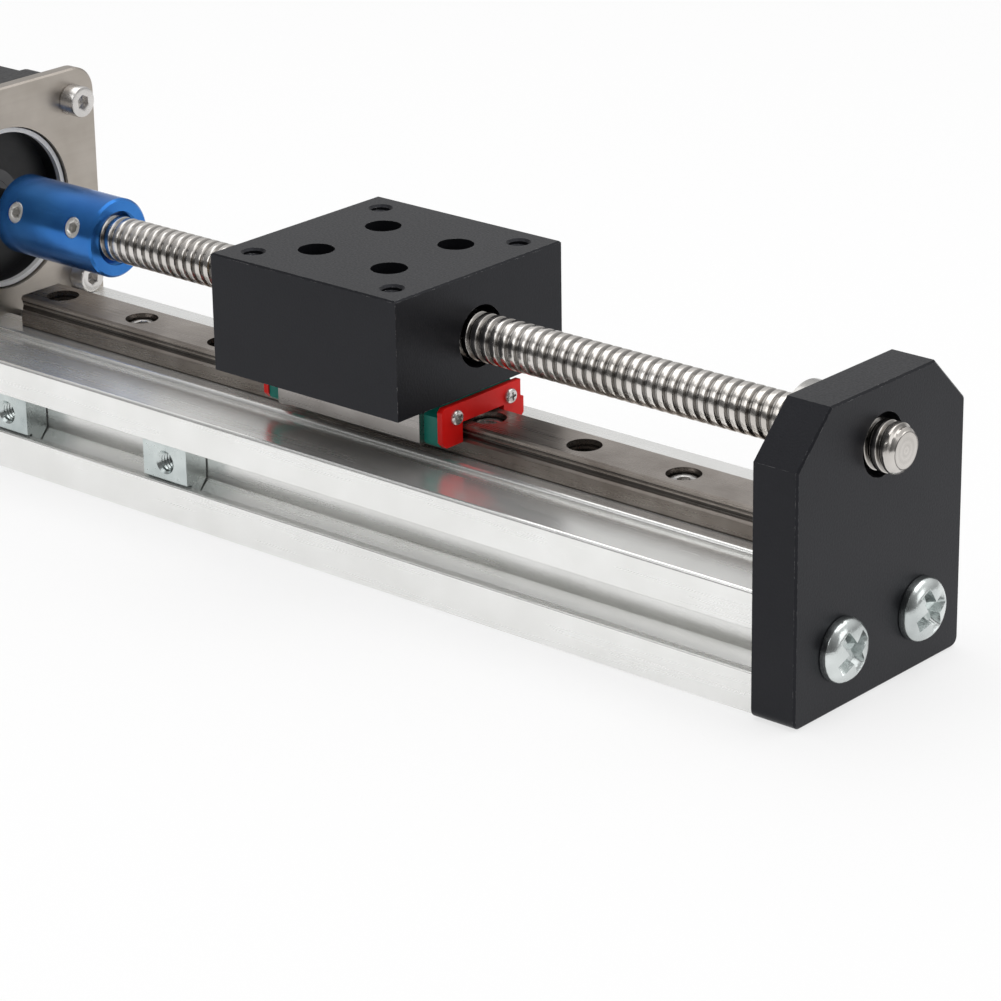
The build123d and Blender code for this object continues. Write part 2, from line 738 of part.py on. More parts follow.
rear_facing_plate = Plane(origin=(x_motor_face, 0, 0), x_dir=(0, -1, 0), z_dir=(-1, 0, 0))
save(pan_screws(rear_facing_plate, core_points), "motor_plate_screws")
save(
    socket_screws(
        Plane.YZ.offset(x_profile_start),
        motor_bolt_points,
        medium_head_diameter,
        medium_head_height,
        medium_shank_diameter,
        motor_screw_length,
        medium_socket,
    ),
    "motor_screws",
)

# Motor front cap: pilot ring, bearing bore, tapped corners
x_front_bearing = x_motor_face - motor_pilot_recess_depth - motor_bearing_width
x_rear_bearing = x_stator_rear - motor_bearing_width
tie_screw_start = x_motor_rear + tie_head_height + screw_hole_clearance
tie_hole = tie_shank_diameter / 2 + screw_hole_clearance
with BuildPart() as motor_front_cap:
    with BuildSketch(Plane.YZ.offset(x_stator_front)):
        with Locations((0, z_axis)):
            RectangleRounded(motor_size, motor_size, motor_cap_radius)
    extrude(amount=motor_front_cap_length)
    with BuildSketch(Plane.YZ.offset(x_motor_face)):
        with Locations((0, z_axis)):
            Circle(motor_pilot_diameter / 2)
    extrude(amount=motor_pilot_height)
    with BuildSketch(Plane.YZ.offset(x_motor_face - motor_pilot_recess_depth)):
        with Locations((0, z_axis)):
            Circle(motor_pilot_recess_diameter / 2)
    extrude(amount=motor_pilot_recess_depth + motor_pilot_height, mode=Mode.SUBTRACT)
    with BuildSketch(Plane.YZ.offset(x_stator_front)):
        with Locations((0, z_axis)):
            Circle(motor_bearing_diameter / 2)
    extrude(amount=motor_front_cap_length, mode=Mode.SUBTRACT)
    with BuildSketch(Plane.YZ.offset(x_motor_face)):
        with Locations(*motor_bolt_points):
            Circle(medium_shank_diameter / 2 + screw_hole_clearance / 2)
    extrude(amount=motor_plate_thickness - motor_screw_length - screw_hole_clearance, mode=Mode.SUBTRACT)
save(motor_front_cap.part, "motor_front_cap")

# Stator stack with clipped corners, bored for the rotor
stator_size = motor_size - 2 * motor_stator_inset
with BuildPart() as motor_stator:
    with BuildSketch(Plane.YZ.offset(x_stator_rear)) as stack:
        with Locations((0, z_axis)):
            Rectangle(stator_size, stator_size)
        chamfer(stack.vertices(), motor_corner_chamfer)
        with Locations((0, z_axis)):
            Circle(motor_rotor_diameter / 2 + motor_air_gap, mode=Mode.SUBTRACT)
    extrude(amount=motor_stator_length)
save(motor_stator.part, "motor_stator")

# Rear cap: rear bearing seat, recesses for the tie screw heads
with BuildPart() as motor_rear_cap:
    with BuildSketch(Plane.YZ.offset(x_motor_rear)):
        with Locations((0, z_axis)):
            RectangleRounded(motor_size, motor_size, motor_cap_radius)
    extrude(amount=motor_rear_cap_length)
    chamfer(motor_rear_cap.faces().sort_by(Axis.X)[0].edges(), motor_rear_edge_chamfer)
    with BuildSketch(Plane.YZ.offset(x_rear_bearing)):
        with Locations((0, z_axis)):
            Circle(motor_bearing_diameter / 2)
    extrude(amount=motor_bearing_width, mode=Mode.SUBTRACT)
    with BuildSketch(Plane.YZ.offset(x_motor_rear)):
        with Locations(*motor_bolt_points):
            Circle(tie_head_diameter / 2 + screw_hole_clearance)
    extrude(amount=tie_screw_start - x_motor_rear, mode=Mode.SUBTRACT)
    with BuildSketch(Plane.YZ.offset(x_motor_rear)):
        with Locations(*motor_bolt_points):
            Circle(tie_hole)
    extrude(amount=tie_screw_start - x_motor_rear + tie_screw_length, mode=Mode.SUBTRACT)
save(motor_rear_cap.part, "motor_rear_cap")

rear_facing_cap = Plane(origin=(tie_screw_start, 0, 0), x_dir=(0, -1, 0), z_dir=(-1, 0, 0))
save(
    socket_screws(
        rear_facing_cap,
        motor_bolt_points,
        tie_head_diameter,
        tie_head_height,
        tie_shank_diameter,
        tie_screw_length,
        small_socket,
    ),
    "motor_tie_screws",
)

# Motor bearings, front and rear
for place, x_ring in (("front", x_front_bearing), ("rear", x_rear_bearing)):
    outer_ring, inner_ring = bearing_rings(
        x_ring, motor_bearing_width, motor_shaft_diameter, motor_bearing_diameter
    )
    save(outer_ring, f"motor_{place}_bearing_outer_ring")
    save(inner_ring, f"motor_{place}_bearing_inner_ring")

# Motor shaft with a flat under the coupling, rotor pressed on it
x_shaft_rear = x_rear_bearing + motor_air_gap
with BuildPart() as motor_shaft:
    with BuildSketch(Plane.YZ.offset(x_shaft_rear)):
        with Locations((0, z_axis)):
            Circle(motor_shaft_diameter / 2)
    extrude(amount=x_shaft_end - x_shaft_rear)
    with BuildSketch(Plane.YZ.offset(x_shaft_end - motor_shaft_flat_length)):
        with Locations((0, z_axis - motor_shaft_diameter + motor_shaft_flat)):
            Rectangle(motor_shaft_diameter, motor_shaft_diameter)
    extrude(amount=motor_shaft_flat_length, mode=Mode.SUBTRACT)
    chamfer(motor_shaft.edges().group_by(Axis.X)[0], motor_air_gap)
save(motor_shaft.part, "motor_shaft")

x_rotor_start = (x_stator_rear + x_stator_front - motor_rotor_length) / 2
with BuildPart() as motor_rotor:
    with BuildSketch(Plane.YZ.offset(x_rotor_start)):
        with Locations((0, z_axis)):
            Circle(motor_rotor_diameter / 2)
            Circle(motor_shaft_diameter / 2, mode=Mode.SUBTRACT)
    extrude(amount=motor_rotor_length)
save(motor_rotor.part, "motor_rotor")

# Connector socket under the rear cap: shroud open downwards, row of square pins
z_cap_foot = z_axis - motor_size / 2
x_connector = x_motor_rear + motor_rear_cap_length / 2
with BuildPart() as motor_connector:
    with BuildSketch(Plane.XY.offset(z_cap_foot)):
        with Locations((x_connector, 0)):
            Rectangle(connector_height, connector_width)
    extrude(amount=-connector_length)
    with BuildSketch(Plane.XY.offset(z_cap_foot - connector_wall)):
        with Locations((x_connector, 0)):
            Rectangle(connector_height - 2 * connector_wall, connector_width - 2 * connector_wall)
    extrude(amount=-connector_length, mode=Mode.SUBTRACT)
save(motor_connector.part, "motor_connector")
with BuildPart() as connector_pins:
    with BuildSketch(Plane.XY.offset(z_cap_foot - connector_wall)):
        with Locations((x_connector, 0)):
            with GridLocations(0, connector_pin_pitch, 1, connector_pin_count):
                Rectangle(connector_pin_size, connector_pin_size)
    extrude(amount=-connector_length + 2 * connector_wall)
save(connector_pins.part, "connector_pins")

# T-nuts: boss in the slot opening, wings behind the lips, bevelled back, tapped through
boss_face = half_width - nut_block_face_recess
wing_face = half_width - slot_lip - nut_block_gap
wing_back = wing_face - slot_straight_depth + nut_block_gap
nut_back = half_width - slot_depth + nut_block_gap
nut_outline = [
    (boss_face, nut_block_boss_height / 2),
    (wing_face, nut_block_boss_height / 2),
    (wing_face, slot_cavity_width / 2 - nut_block_gap),
    (wing_back, slot_cavity_width / 2 - nut_block_gap),
    (nut_back, slot_back_width / 2 - nut_block_gap),
]
nut_loop = nut_outline + [(y, -z) for y, z in reversed(nut_outline)]
for side, side_name in ((-1, "near"), (1, "far")):
    for inset, place in zip(nut_block_insets, ("front", "rear")):
        x_nut = x_profile_start + inset
        slot_face = Plane(
            origin=(x_nut, side * boss_face, slot_height_above_foot), x_dir=(1, 0, 0), z_dir=(0, side, 0)
        )
        with BuildPart() as slot_nut:
            with BuildSketch(Plane.YZ.offset(x_nut - nut_block_length / 2)):
                with BuildLine():
                    Polyline(*[(side * y, slot_height_above_foot + z) for y, z in nut_loop], close=True)
                make_face()
            extrude(amount=nut_block_length)
            with BuildSketch(slot_face):
                Circle(nut_block_thread_diameter / 2)
            extrude(amount=-slot_depth, mode=Mode.SUBTRACT)
            outer_face = slot_nut.faces().sort_by(Axis.Y)[0 if side < 0 else -1]
            thread_rim = outer_face.edges().filter_by(GeomType.CIRCLE)
            chamfer(thread_rim, nut_block_thread_chamfer)
        save(slot_nut.part, f"slot_nut_{side_name}_{place}")
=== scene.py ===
import bpy
import bmesh
from math import cos, pi, radians, sin
from mathutils import Matrix, Vector


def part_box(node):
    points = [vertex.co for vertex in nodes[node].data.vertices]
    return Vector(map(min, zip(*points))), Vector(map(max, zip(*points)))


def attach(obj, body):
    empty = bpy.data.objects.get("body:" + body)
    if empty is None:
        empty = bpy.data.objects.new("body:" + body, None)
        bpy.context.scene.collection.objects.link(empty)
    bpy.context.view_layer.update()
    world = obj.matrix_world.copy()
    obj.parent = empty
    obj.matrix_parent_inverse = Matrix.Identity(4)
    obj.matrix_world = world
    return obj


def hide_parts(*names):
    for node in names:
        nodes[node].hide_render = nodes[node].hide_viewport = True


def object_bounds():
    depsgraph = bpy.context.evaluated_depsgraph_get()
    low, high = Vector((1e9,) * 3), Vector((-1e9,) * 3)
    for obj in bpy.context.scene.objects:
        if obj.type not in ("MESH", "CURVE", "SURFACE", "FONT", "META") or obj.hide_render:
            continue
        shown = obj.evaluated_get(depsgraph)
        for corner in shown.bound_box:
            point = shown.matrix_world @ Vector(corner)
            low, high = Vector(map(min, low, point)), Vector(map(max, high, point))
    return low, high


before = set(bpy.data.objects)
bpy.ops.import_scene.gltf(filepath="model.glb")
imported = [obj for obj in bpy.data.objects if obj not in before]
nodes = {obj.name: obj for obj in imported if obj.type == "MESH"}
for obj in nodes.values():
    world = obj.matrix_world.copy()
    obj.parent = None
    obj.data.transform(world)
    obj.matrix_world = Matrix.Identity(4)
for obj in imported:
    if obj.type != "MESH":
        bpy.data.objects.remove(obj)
cad_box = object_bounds()
MM = 0.001
EVEN = (1.0, 1.0, 1.0)


# Node materials

def material(name):
    """A new material, its node tree and its Principled shader."""
    mat = bpy.data.materials.new(name)
    mat.use_nodes = True
    tree = mat.node_tree
    return mat, tree, tree.nodes["Principled BSDF"]


def put(bsdf, **values):
    """Set plain values on the shader's own sockets."""
    for key, value in values.items():
        bsdf.inputs[key.replace("_", " ")].default_value = value


def coords(tree, scale):
    """Object coordinates stretched by a scale, for the textures."""
    source = tree.nodes.new("ShaderNodeTexCoord")
    mapping = tree.nodes.new("ShaderNodeMapping")
    mapping.inputs["Scale"].default_value = scale
    tree.links.new(source.outputs["Object"], mapping.inputs["Vector"])
    return mapping.outputs["Vector"]


def noise(tree, vector, scale, detail, roughness=0.5):
    """A noise texture's factor."""
    node = tree.nodes.new("ShaderNodeTexNoise")
    node.inputs["Scale"].default_value = scale
    node.inputs["Detail"].default_value = detail
    node.inputs["Roughness"].default_value = roughness
    tree.links.new(vector, node.inputs["Vector"])
    return node.outputs["Fac"]


def spread(tree, factor, low, high, clip_low=0.3, clip_high=0.7):
    """A factor mapped to low..high from a range, which is the noise's middle unless given."""
    node = tree.nodes.new("ShaderNodeMapRange")
    node.inputs["From Min"].default_value = clip_low
    node.inputs["From Max"].default_value = clip_high
    node.inputs["To Min"].default_value = low
    node.inputs["To Max"].default_value = high
    tree.links.new(factor, node.inputs["Value"])
    return node.outputs["Result"]


def two_tone(tree, factor, dark, light):
    """A colour between two, by a factor."""
    node = tree.nodes.new("ShaderNodeMix")
    node.data_type = "RGBA"
    node.inputs["A"].default_value = (*dark, 1.0)
    node.inputs["B"].default_value = (*light, 1.0)
    tree.links.new(factor, node.inputs["Factor"])
    return node.outputs["Result"]


def bump(tree, bsdf, height, strength, distance):
    """A bump from a height factor."""
    node = tree.nodes.new("ShaderNodeBump")
    node.inputs["Strength"].default_value = strength
    node.inputs["Distance"].default_value = distance
    tree.links.new(height, node.inputs["Height"])
    tree.links.new(node.outputs["Normal"], bsdf.inputs["Normal"])


def metal(name, dark, light, rough, grain, grain_scale, grain_depth, strength, metallic=1.0):
    """A metal whose grain is stretched: grain holds the coordinate scale along each axis."""
    mat, tree, bsdf = material(name)
    put(bsdf, Metallic=metallic)
    lines = noise(tree, coords(tree, grain), grain_scale, 4.0, 0.6)
    patches = noise(tree, coords(tree, EVEN), 90.0, 3.0)
    tree.links.new(two_tone(tree, spread(tree, patches, 0.0, 1.0), dark, light), bsdf.inputs["Base Color"])
    tree.links.new(spread(tree, lines, rough[0], rough[1]), bsdf.inputs["Roughness"])
    bump(tree, bsdf, lines, strength, grain_depth)
    return mat


def plastic(name, dark, light, rough, grain_scale, grain_depth, specular, strength=0.35):
    """A moulded or anodised surface with a fine even grain."""
    mat, tree, bsdf = material(name)
    put(bsdf, Specular_IOR_Level=specular)
    grain = noise(tree, coords(tree, EVEN), grain_scale, 2.0)
    patches = noise(tree, coords(tree, EVEN), 60.0, 3.0)
    tree.links.new(two_tone(tree, spread(tree, patches, 0.0, 1.0), dark, light), bsdf.inputs["Base Color"])
    tree.links.new(spread(tree, grain, rough[0], rough[1]), bsdf.inputs["Roughness"])
    bump(tree, bsdf, grain, strength, grain_depth)
    return mat


profile_metal = metal(
    "drawn_aluminium", dark=(0.88, 0.88, 0.86), light=(0.95, 0.95, 0.935), rough=(0.22, 0.30),
    grain=(0.4, 14.0, 14.0), grain_scale=22.0, grain_depth=0.000006, strength=0.1, metallic=0.78,
)
rail_metal = metal(
    "ground_rail", dark=(0.25, 0.215, 0.19), light=(0.41, 0.37, 0.335), rough=(0.22, 0.38),
    grain=(1.0, 60.0, 60.0), grain_scale=40.0, grain_depth=0.00002, strength=0.3, metallic=0.9,
)
block_metal = metal(
    "ground_slider", dark=(0.30, 0.28, 0.265), light=(0.38, 0.36, 0.345), rough=(0.24, 0.36),
    grain=(1.0, 60.0, 60.0), grain_scale=40.0, grain_depth=0.00002, strength=0.3,
)
plate_metal = metal(
    "brushed_plate", dark=(0.37, 0.335, 0.295), light=(0.45, 0.41, 0.37), rough=(0.30, 0.42),
    grain=(30.0, 1.0, 60.0), grain_scale=40.0, grain_depth=0.00001, strength=0.25,
)
screw_metal = metal(
    "rolled_screw", dark=(0.58, 0.55, 0.515), light=(0.76, 0.73, 0.70), rough=(0.14, 0.28),
    grain=(8.0, 8.0, 8.0), grain_scale=60.0, grain_depth=0.00001, strength=0.15,
)
ring_metal = metal(
    "bearing_rings", dark=(0.58, 0.58, 0.59), light=(0.68, 0.68, 0.69), rough=(0.10, 0.18),
    grain=(30.0, 2.0, 2.0), grain_scale=30.0, grain_depth=0.00001, strength=0.15,
)
# Motor shaft and bearing rings: a dark steel, painted shade for their place in the motor's recess
recess_shaded_steel = metal(
    "recess_shade_steel", dark=(0.06, 0.06, 0.062), light=(0.10, 0.10, 0.102), rough=(0.28, 0.40),
    grain=(30.0, 2.0, 2.0), grain_scale=30.0, grain_depth=0.00001, strength=0.15,
)
collar_metal = metal(
    "collar_steel", dark=(0.40, 0.39, 0.375), light=(0.50, 0.49, 0.475), rough=(0.20, 0.30),
    grain=(40.0, 2.0, 2.0), grain_scale=30.0, grain_depth=0.00001, strength=0.2, metallic=0.95,
)
zinc = metal(
    "bright_zinc", dark=(0.38, 0.41, 0.41), light=(0.74, 0.78, 0.77), rough=(0.10, 0.30),
    grain=(3.0, 3.0, 3.0), grain_scale=150.0, grain_depth=0.00010, strength=0.8,
)
# Nuts in the T-slots: a darker copy of the zinc, painted shade for their place inside the slot
slot_shaded_zinc = metal(
    "slot_shade_zinc", dark=(0.40, 0.45, 0.45), light=(0.66, 0.71, 0.70), rough=(0.18, 0.32),
    grain=(3.0, 3.0, 3.0), grain_scale=150.0, grain_depth=0.00003, strength=0.35,
)
steel_screw = metal(
    "stainless_screws", dark=(0.56, 0.54, 0.52), light=(0.72, 0.70, 0.68), rough=(0.16, 0.30),
    grain=(3.0, 3.0, 3.0), grain_scale=100.0, grain_depth=0.00002, strength=0.3, metallic=0.85,
)
grub_metal = metal(
    "bright_grub_screws", dark=(0.66, 0.65, 0.63), light=(0.82, 0.81, 0.79), rough=(0.20, 0.32),
    grain=(3.0, 3.0, 3.0), grain_scale=100.0, grain_depth=0.00002, strength=0.3, metallic=0.6,
)
blue = metal(
    "blue_anodised", dark=(0.024, 0.150, 0.48), light=(0.042, 0.205, 0.58), rough=(0.19, 0.26),
    grain=(4.0, 2.0, 2.0), grain_scale=30.0, grain_depth=0.00001, strength=0.1, metallic=0.84,
)
stack = metal(
    "stator_stack", dark=(0.020, 0.020, 0.022), light=(0.040, 0.040, 0.042), rough=(0.40, 0.55),
    grain=(60.0, 1.0, 1.0), grain_scale=60.0, grain_depth=0.00008, strength=0.6, metallic=0.4,
)
bronze = metal(
    "nut_bronze", dark=(0.46, 0.30, 0.13), light=(0.56, 0.39, 0.18), rough=(0.22, 0.34),
    grain=(40.0, 2.0, 2.0), grain_scale=40.0, grain_depth=0.00001, strength=0.3,
)
pin_metal = metal(
    "pin_metal", dark=(0.60, 0.48, 0.22), light=(0.70, 0.57, 0.29), rough=(0.18, 0.28),
    grain=(2.0, 2.0, 40.0), grain_scale=40.0, grain_depth=0.00001, strength=0.2,
)
black = plastic(
    "black_anodised", dark=(0.0068, 0.0069, 0.0084), light=(0.0098, 0.0099, 0.0118),
    rough=(0.28, 0.42), grain_scale=2200.0, grain_depth=0.00004, specular=0.24, strength=0.6,
)
put(black.node_tree.nodes["Principled BSDF"], Specular_Tint=(0.88, 0.90, 1.0, 1.0))
oxide = plastic(
    "black_oxide", dark=(0.012, 0.012, 0.012), light=(0.022, 0.021, 0.020), rough=(0.28, 0.42),
    grain_scale=900.0, grain_depth=0.00001, specular=0.35,
)
motor_black = plastic(
    "motor_black", dark=(0.010, 0.010, 0.011), light=(0.017, 0.017, 0.018), rough=(0.34, 0.46),
    grain_scale=1400.0, grain_depth=0.00003, specular=0.3,
)
green = plastic(
    "green_cap", dark=(0.003, 0.20, 0.155), light=(0.005, 0.25, 0.20), rough=(0.30, 0.42),
    grain_scale=1200.0, grain_depth=0.00002, specular=0.3,
)
red = plastic(
    "red_seal", dark=(0.80, 0.010, 0.008), light=(0.88, 0.014, 0.011), rough=(0.32, 0.45),
    grain_scale=1200.0, grain_depth=0.00002, specular=0.2,
)
cream = plastic(
    "connector_cream", dark=(0.56, 0.52, 0.43), light=(0.64, 0.60, 0.50), rough=(0.35, 0.48),
    grain_scale=1200.0, grain_depth=0.00002, specular=0.4,
)


# Looks that follow the shape: distance from the screw axis, depth below the rail's top

screw_low, screw_high = (Vector(corner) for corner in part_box("lead_screw"))
axis_z = (screw_low.z + screw_high.z) / 2
crest = (screw_high.z - screw_low.z) / 2


def axis_distance(tree):
    """Distance from the screw axis."""
    offset = tree.nodes.new("ShaderNodeVectorMath")
    offset.operation = "SUBTRACT"
    offset.inputs[1].default_value = (0.0, 0.0, axis_z)
    tree.links.new(coords(tree, (0.0, 1.0, 1.0)), offset.inputs[0])
    length = tree.nodes.new("ShaderNodeVectorMath")
    length.operation = "LENGTH"
    tree.links.new(offset.outputs["Vector"], length.inputs[0])
    return length.outputs["Value"]


def along(tree, axis):
    """One object coordinate."""
    split = tree.nodes.new("ShaderNodeSeparateXYZ")
    tree.links.new(coords(tree, EVEN), split.inputs["Vector"])
    return split.outputs[axis]


def product(tree, first, second):
    """The product of two factors."""
    node = tree.nodes.new("ShaderNodeMath")
    node.operation = "MULTIPLY"
    tree.links.new(first, node.inputs[0])
    tree.links.new(second, node.inputs[1])
    return node.outputs["Value"]


def shaded(mat, colour):
    """Multiply a material's base colour by another colour."""
    tree = mat.node_tree
    socket = tree.nodes["Principled BSDF"].inputs["Base Color"]
    node = tree.nodes.new("ShaderNodeMix")
    node.data_type = "RGBA"
    node.blend_type = "MULTIPLY"
    node.inputs["Factor"].default_value = 1.0
    tree.links.new(socket.links[0].from_socket, node.inputs["A"])
    tree.links.new(colour, node.inputs["B"])
    tree.links.new(node.outputs["Result"], socket)


def tinted(mat, factor, colour):
    """Mix a plain colour into a material's base colour by a factor."""
    tree = mat.node_tree
    socket = tree.nodes["Principled BSDF"].inputs["Base Color"]
    node = tree.nodes.new("ShaderNodeMix")
    node.data_type = "RGBA"
    node.inputs["B"].default_value = (*colour, 1.0)
    tree.links.new(factor, node.inputs["Factor"])
    tree.links.new(socket.links[0].from_socket, node.inputs["A"])
    tree.links.new(node.outputs["Result"], socket)


def worn_edges(mat, colour, width):
    """Mix a colour in along the sharp edges, broken up by noise."""
    tree = mat.node_tree
    rounded = tree.nodes.new("ShaderNodeBevel")
    rounded.samples = 4
    rounded.inputs["Radius"].default_value = width
    flat = tree.nodes.new("ShaderNodeNewGeometry")
    facing = tree.nodes.new("ShaderNodeVectorMath")
    facing.operation = "DOT_PRODUCT"
    tree.links.new(rounded.outputs["Normal"], facing.inputs[0])
    tree.links.new(flat.outputs["True Normal"], facing.inputs[1])
    edge = spread(tree, facing.outputs["Value"], 1.0, 0.0, clip_low=0.80, clip_high=0.97)
    wear = noise(tree, coords(tree, EVEN), 700.0, 4.0, 0.7)
    broken = spread(tree, wear, 0.0, 1.0, clip_low=0.50, clip_high=0.62)
    tinted(mat, product(tree, edge, broken), colour)


def bands(tree, factor, stops):
    """A grey value from a factor by positions and levels."""
    node = tree.nodes.new("ShaderNodeValToRGB")
    ramp = node.color_ramp
    for position, level in stops[1:-1]:
        ramp.elements.new(position).color = (level, level, level, 1.0)
    for element, (position, level) in ((ramp.elements[0], stops[0]), (ramp.elements[-1], stops[-1])):
        element.position = position
        element.color = (level, level, level, 1.0)
    tree.links.new(factor, node.inputs["Fac"])
    return node.outputs["Color"]


# Thread: painted shade, darker towards the groove's root; turning rings on the tip, with a dark line at the
# rim of its face
groove_depth = 0.75 * MM
tip_start = screw_high.x - 1.5 * MM
tip_full = screw_high.x - 1.3 * MM
groove_shade_stops = ((0.0, 0.38), (0.7, 0.6), (0.95, 1.0))
turning_stops = (
    (0.0, 0.8), (0.12, 0.95), (0.2, 0.82), (0.32, 0.92), (0.45, 0.82), (0.58, 0.92),
    (0.69, 0.86), (0.705, 0.3), (0.725, 0.3), (0.74, 0.95), (1.0, 0.85),
)
tree = screw_metal.node_tree
above_root = spread(tree, axis_distance(tree), 0.0, 1.0, crest - groove_depth, crest)
from_centre = spread(tree, axis_distance(tree), 0.0, 1.0, 0.0, crest)
at_tip = spread(tree, along(tree, "X"), 0.0, 1.0, tip_start, tip_full)
groove_shade_and_tip_rings = tree.nodes.new("ShaderNodeMix")
groove_shade_and_tip_rings.data_type = "RGBA"
tree.links.new(at_tip, groove_shade_and_tip_rings.inputs["Factor"])
tree.links.new(bands(tree, above_root, groove_shade_stops), groove_shade_and_tip_rings.inputs["A"])
tree.links.new(bands(tree, from_centre, turning_stops), groove_shade_and_tip_rings.inputs["B"])
shaded(screw_metal, groove_shade_and_tip_rings.outputs["Result"])

# Rail: painted shade in the ball tracks and a painted contact shadow at the foot, by depth below the rail's
# top
rail_low, rail_high = (Vector(corner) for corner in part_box("linear_rail"))
rail_shade_stops = (
    (0.0, 1.0), (0.15, 1.0), (0.165, 0.3), (0.22, 0.35), (0.235, 1.0), (0.29, 0.95), (0.31, 0.2),
    (0.45, 0.25), (0.47, 1.0), (0.5, 1.0), (0.52, 0.86), (0.94, 0.90), (0.965, 0.2), (1.0, 0.2),
)
tree = rail_metal.node_tree
below_top = spread(tree, along(tree, "Z"), 1.0, 0.0, rail_low.z, rail_high.z)
shaded(rail_metal, bands(tree, below_top, rail_shade_stops))

# Motor front cap: the pilot's machined face shows bare metal
pilot_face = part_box("motor_front_cap")[1][0]
bare_start = pilot_face - 1.4 * MM
bare_full = pilot_face - 1.1 * MM
recess_radius = 16.7 * MM
soft_edge = 0.05 * MM
tree = motor_black.node_tree
far_out = spread(tree, axis_distance(tree), 0.0, 1.0, recess_radius, recess_radius + soft_edge)
in_front = spread(tree, along(tree, "X"), 0.0, 1.0, bare_start, bare_full)
tinted(motor_black, product(tree, far_out, in_front), (0.85, 0.84, 0.82))

# Table and end plate: pale edges where the black is worn
worn_edges(black, (0.30, 0.30, 0.30), 0.18 * MM)


# Which look goes on which node

motor_rings = [name for name in nodes if name.startswith("motor") and name.endswith("_ring")]

looks = {
    profile_metal: ["base_extrusion"],
    rail_metal: ["linear_rail"],
    block_metal: ["slider_block"],
    plate_metal: ["motor_plate"],
    screw_metal: ["lead_screw"],
    recess_shaded_steel: ["motor_shaft"] + motor_rings,
    ring_metal: [name for name in nodes if name.startswith("end_bearing")],
    collar_metal: ["end_collar"],
    zinc: ["end_plate_screws", "motor_plate_screws"],
    slot_shaded_zinc: [name for name in nodes if name.startswith("slot_nut")],
    steel_screw: ["motor_screws", "seal_screws", "rail_screws"],
    grub_metal: ["collar_grub_screw", "coupling_grub_screws"],
    blue: ["shaft_coupling"],
    stack: ["motor_stator", "motor_rotor"],
    bronze: ["lead_nut"],
    pin_metal: ["connector_pins"],
    black: ["carriage_table", "end_plate"],
    oxide: ["table_screws", "lead_nut_screws", "motor_tie_screws"],
    motor_black: ["motor_front_cap", "motor_rear_cap"],
    green: ["front_end_cap", "rear_end_cap"],
    red: ["front_end_seal", "rear_end_seal"],
    cream: ["motor_connector"],
}
for look, names in looks.items():
    for name in names:
        nodes[name].data.materials.clear()
        nodes[name].data.materials.append(look)


# New pieces

def piece(name, bm, look, body, smooth=True):
    """Turn a bmesh into a named piece that rides on a body."""
    mesh = bpy.data.meshes.new(name)
    bm.to_mesh(mesh)
    bm.free()
    for polygon in mesh.polygons:
        polygon.use_smooth = smooth
    mesh.materials.append(look)
    obj = bpy.data.objects.new(name, mesh)
    bpy.context.scene.collection.objects.link(obj)
    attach(obj, body)
    return obj


def crease(bm, angle):
    """Let the shading break at edges sharper than an angle."""
    for edge in bm.edges:
        edge.smooth = len(edge.link_faces) != 2 or edge.calc_face_angle(0.0) < radians(angle)


# Lead screw: a right-hand thread with wide round crests and narrow grooves,
# its profile as pairs of a share of the lead and a depth below the crest in mm
lead = 2.5 * MM
thread_shift = 0.75 * MM
thread_profile = (
    (0.00, 0.00), (0.20, 0.00), (0.41, 0.00), (0.45, 0.03), (0.47, 0.09), (0.54, 0.62), (0.57, 0.70),
    (0.62, 0.73), (0.74, 0.73), (0.80, 0.70), (0.83, 0.62), (0.92, 0.09), (0.95, 0.03), (0.98, 0.00),
)
thread_steps = 72


def thread_mesh(x0, x1, tip_chamfer):
    """Helical thread between two planes, chamfered at the far end and closed at both."""
    bm = bmesh.new()
    turns = int((x1 - x0) / lead) + 4
    rings = []
    for step in range(turns * thread_steps + 1):
        angle = 2 * pi * step / thread_steps
        start = x0 - 2 * lead + thread_shift + lead * step / thread_steps
        ring = []
        for share, depth in thread_profile:
            x = start + share * lead
            radius = min(crest - depth * MM, crest - tip_chamfer + max(0.0, x1 - x))
            ring.append(bm.verts.new((x, -radius * sin(angle), axis_z + radius * cos(angle))))
        rings.append(ring)
    for step in range(turns * thread_steps):
        here, after = rings[step], rings[step + 1]
        for j in range(len(thread_profile) - 1):
            bm.faces.new((here[j], after[j], after[j + 1], here[j + 1]))
        if step + thread_steps + 1 < len(rings):
            next_here, next_after = rings[step + thread_steps], rings[step + thread_steps + 1]
            bm.faces.new((here[-1], after[-1], next_after[0], next_here[0]))
    for x, outward in ((x0, -1), (x1, 1)):
        parts = bm.verts[:] + bm.edges[:] + bm.faces[:]
        cut = bmesh.ops.bisect_plane(
            bm, geom=parts, plane_co=(x, 0, 0), plane_no=(outward, 0, 0), clear_outer=True, dist=1e-7
        )
        rim = [e for e in cut["geom_cut"] if isinstance(e, bmesh.types.BMEdge)]
        bmesh.ops.contextual_create(bm, geom=rim)
    bmesh.ops.recalc_face_normals(bm, faces=bm.faces)
    crease(bm, 30)
    return bm


thread_bm = thread_mesh(screw_low.x, screw_high.x, tip_chamfer=1.4 * MM)
thread = piece("lead_screw_thread", thread_bm, screw_metal, "screw")
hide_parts("lead_screw")


# Fasteners: heads turned from rings whose radius may follow a hexagon or a cross

def circle(radius):
    """A round ring."""
    return lambda angle: radius


def hexagon(across_flats):
    """A ring that follows a hexagon."""
    return lambda angle: across_flats / 2 / cos((angle + pi / 6) % (pi / 3) - pi / 6)


def cross(length, width):
    """A ring that follows a cross with square ends."""
    def radius(angle):
        lean = abs((angle + pi / 4) % (pi / 2) - pi / 4)
        return min(length / 2 / cos(lean), width / 2 / max(sin(lean), 1e-6))
    return radius


def beside(shape, extra, least):
    """A ring that stays just outside another shape and keeps a least radius."""
    return lambda angle: max(shape(angle) + extra, least)


def dome(top, fall):
    """A height that drops with the square of the reach."""
    return lambda reach: top - fall * reach * reach


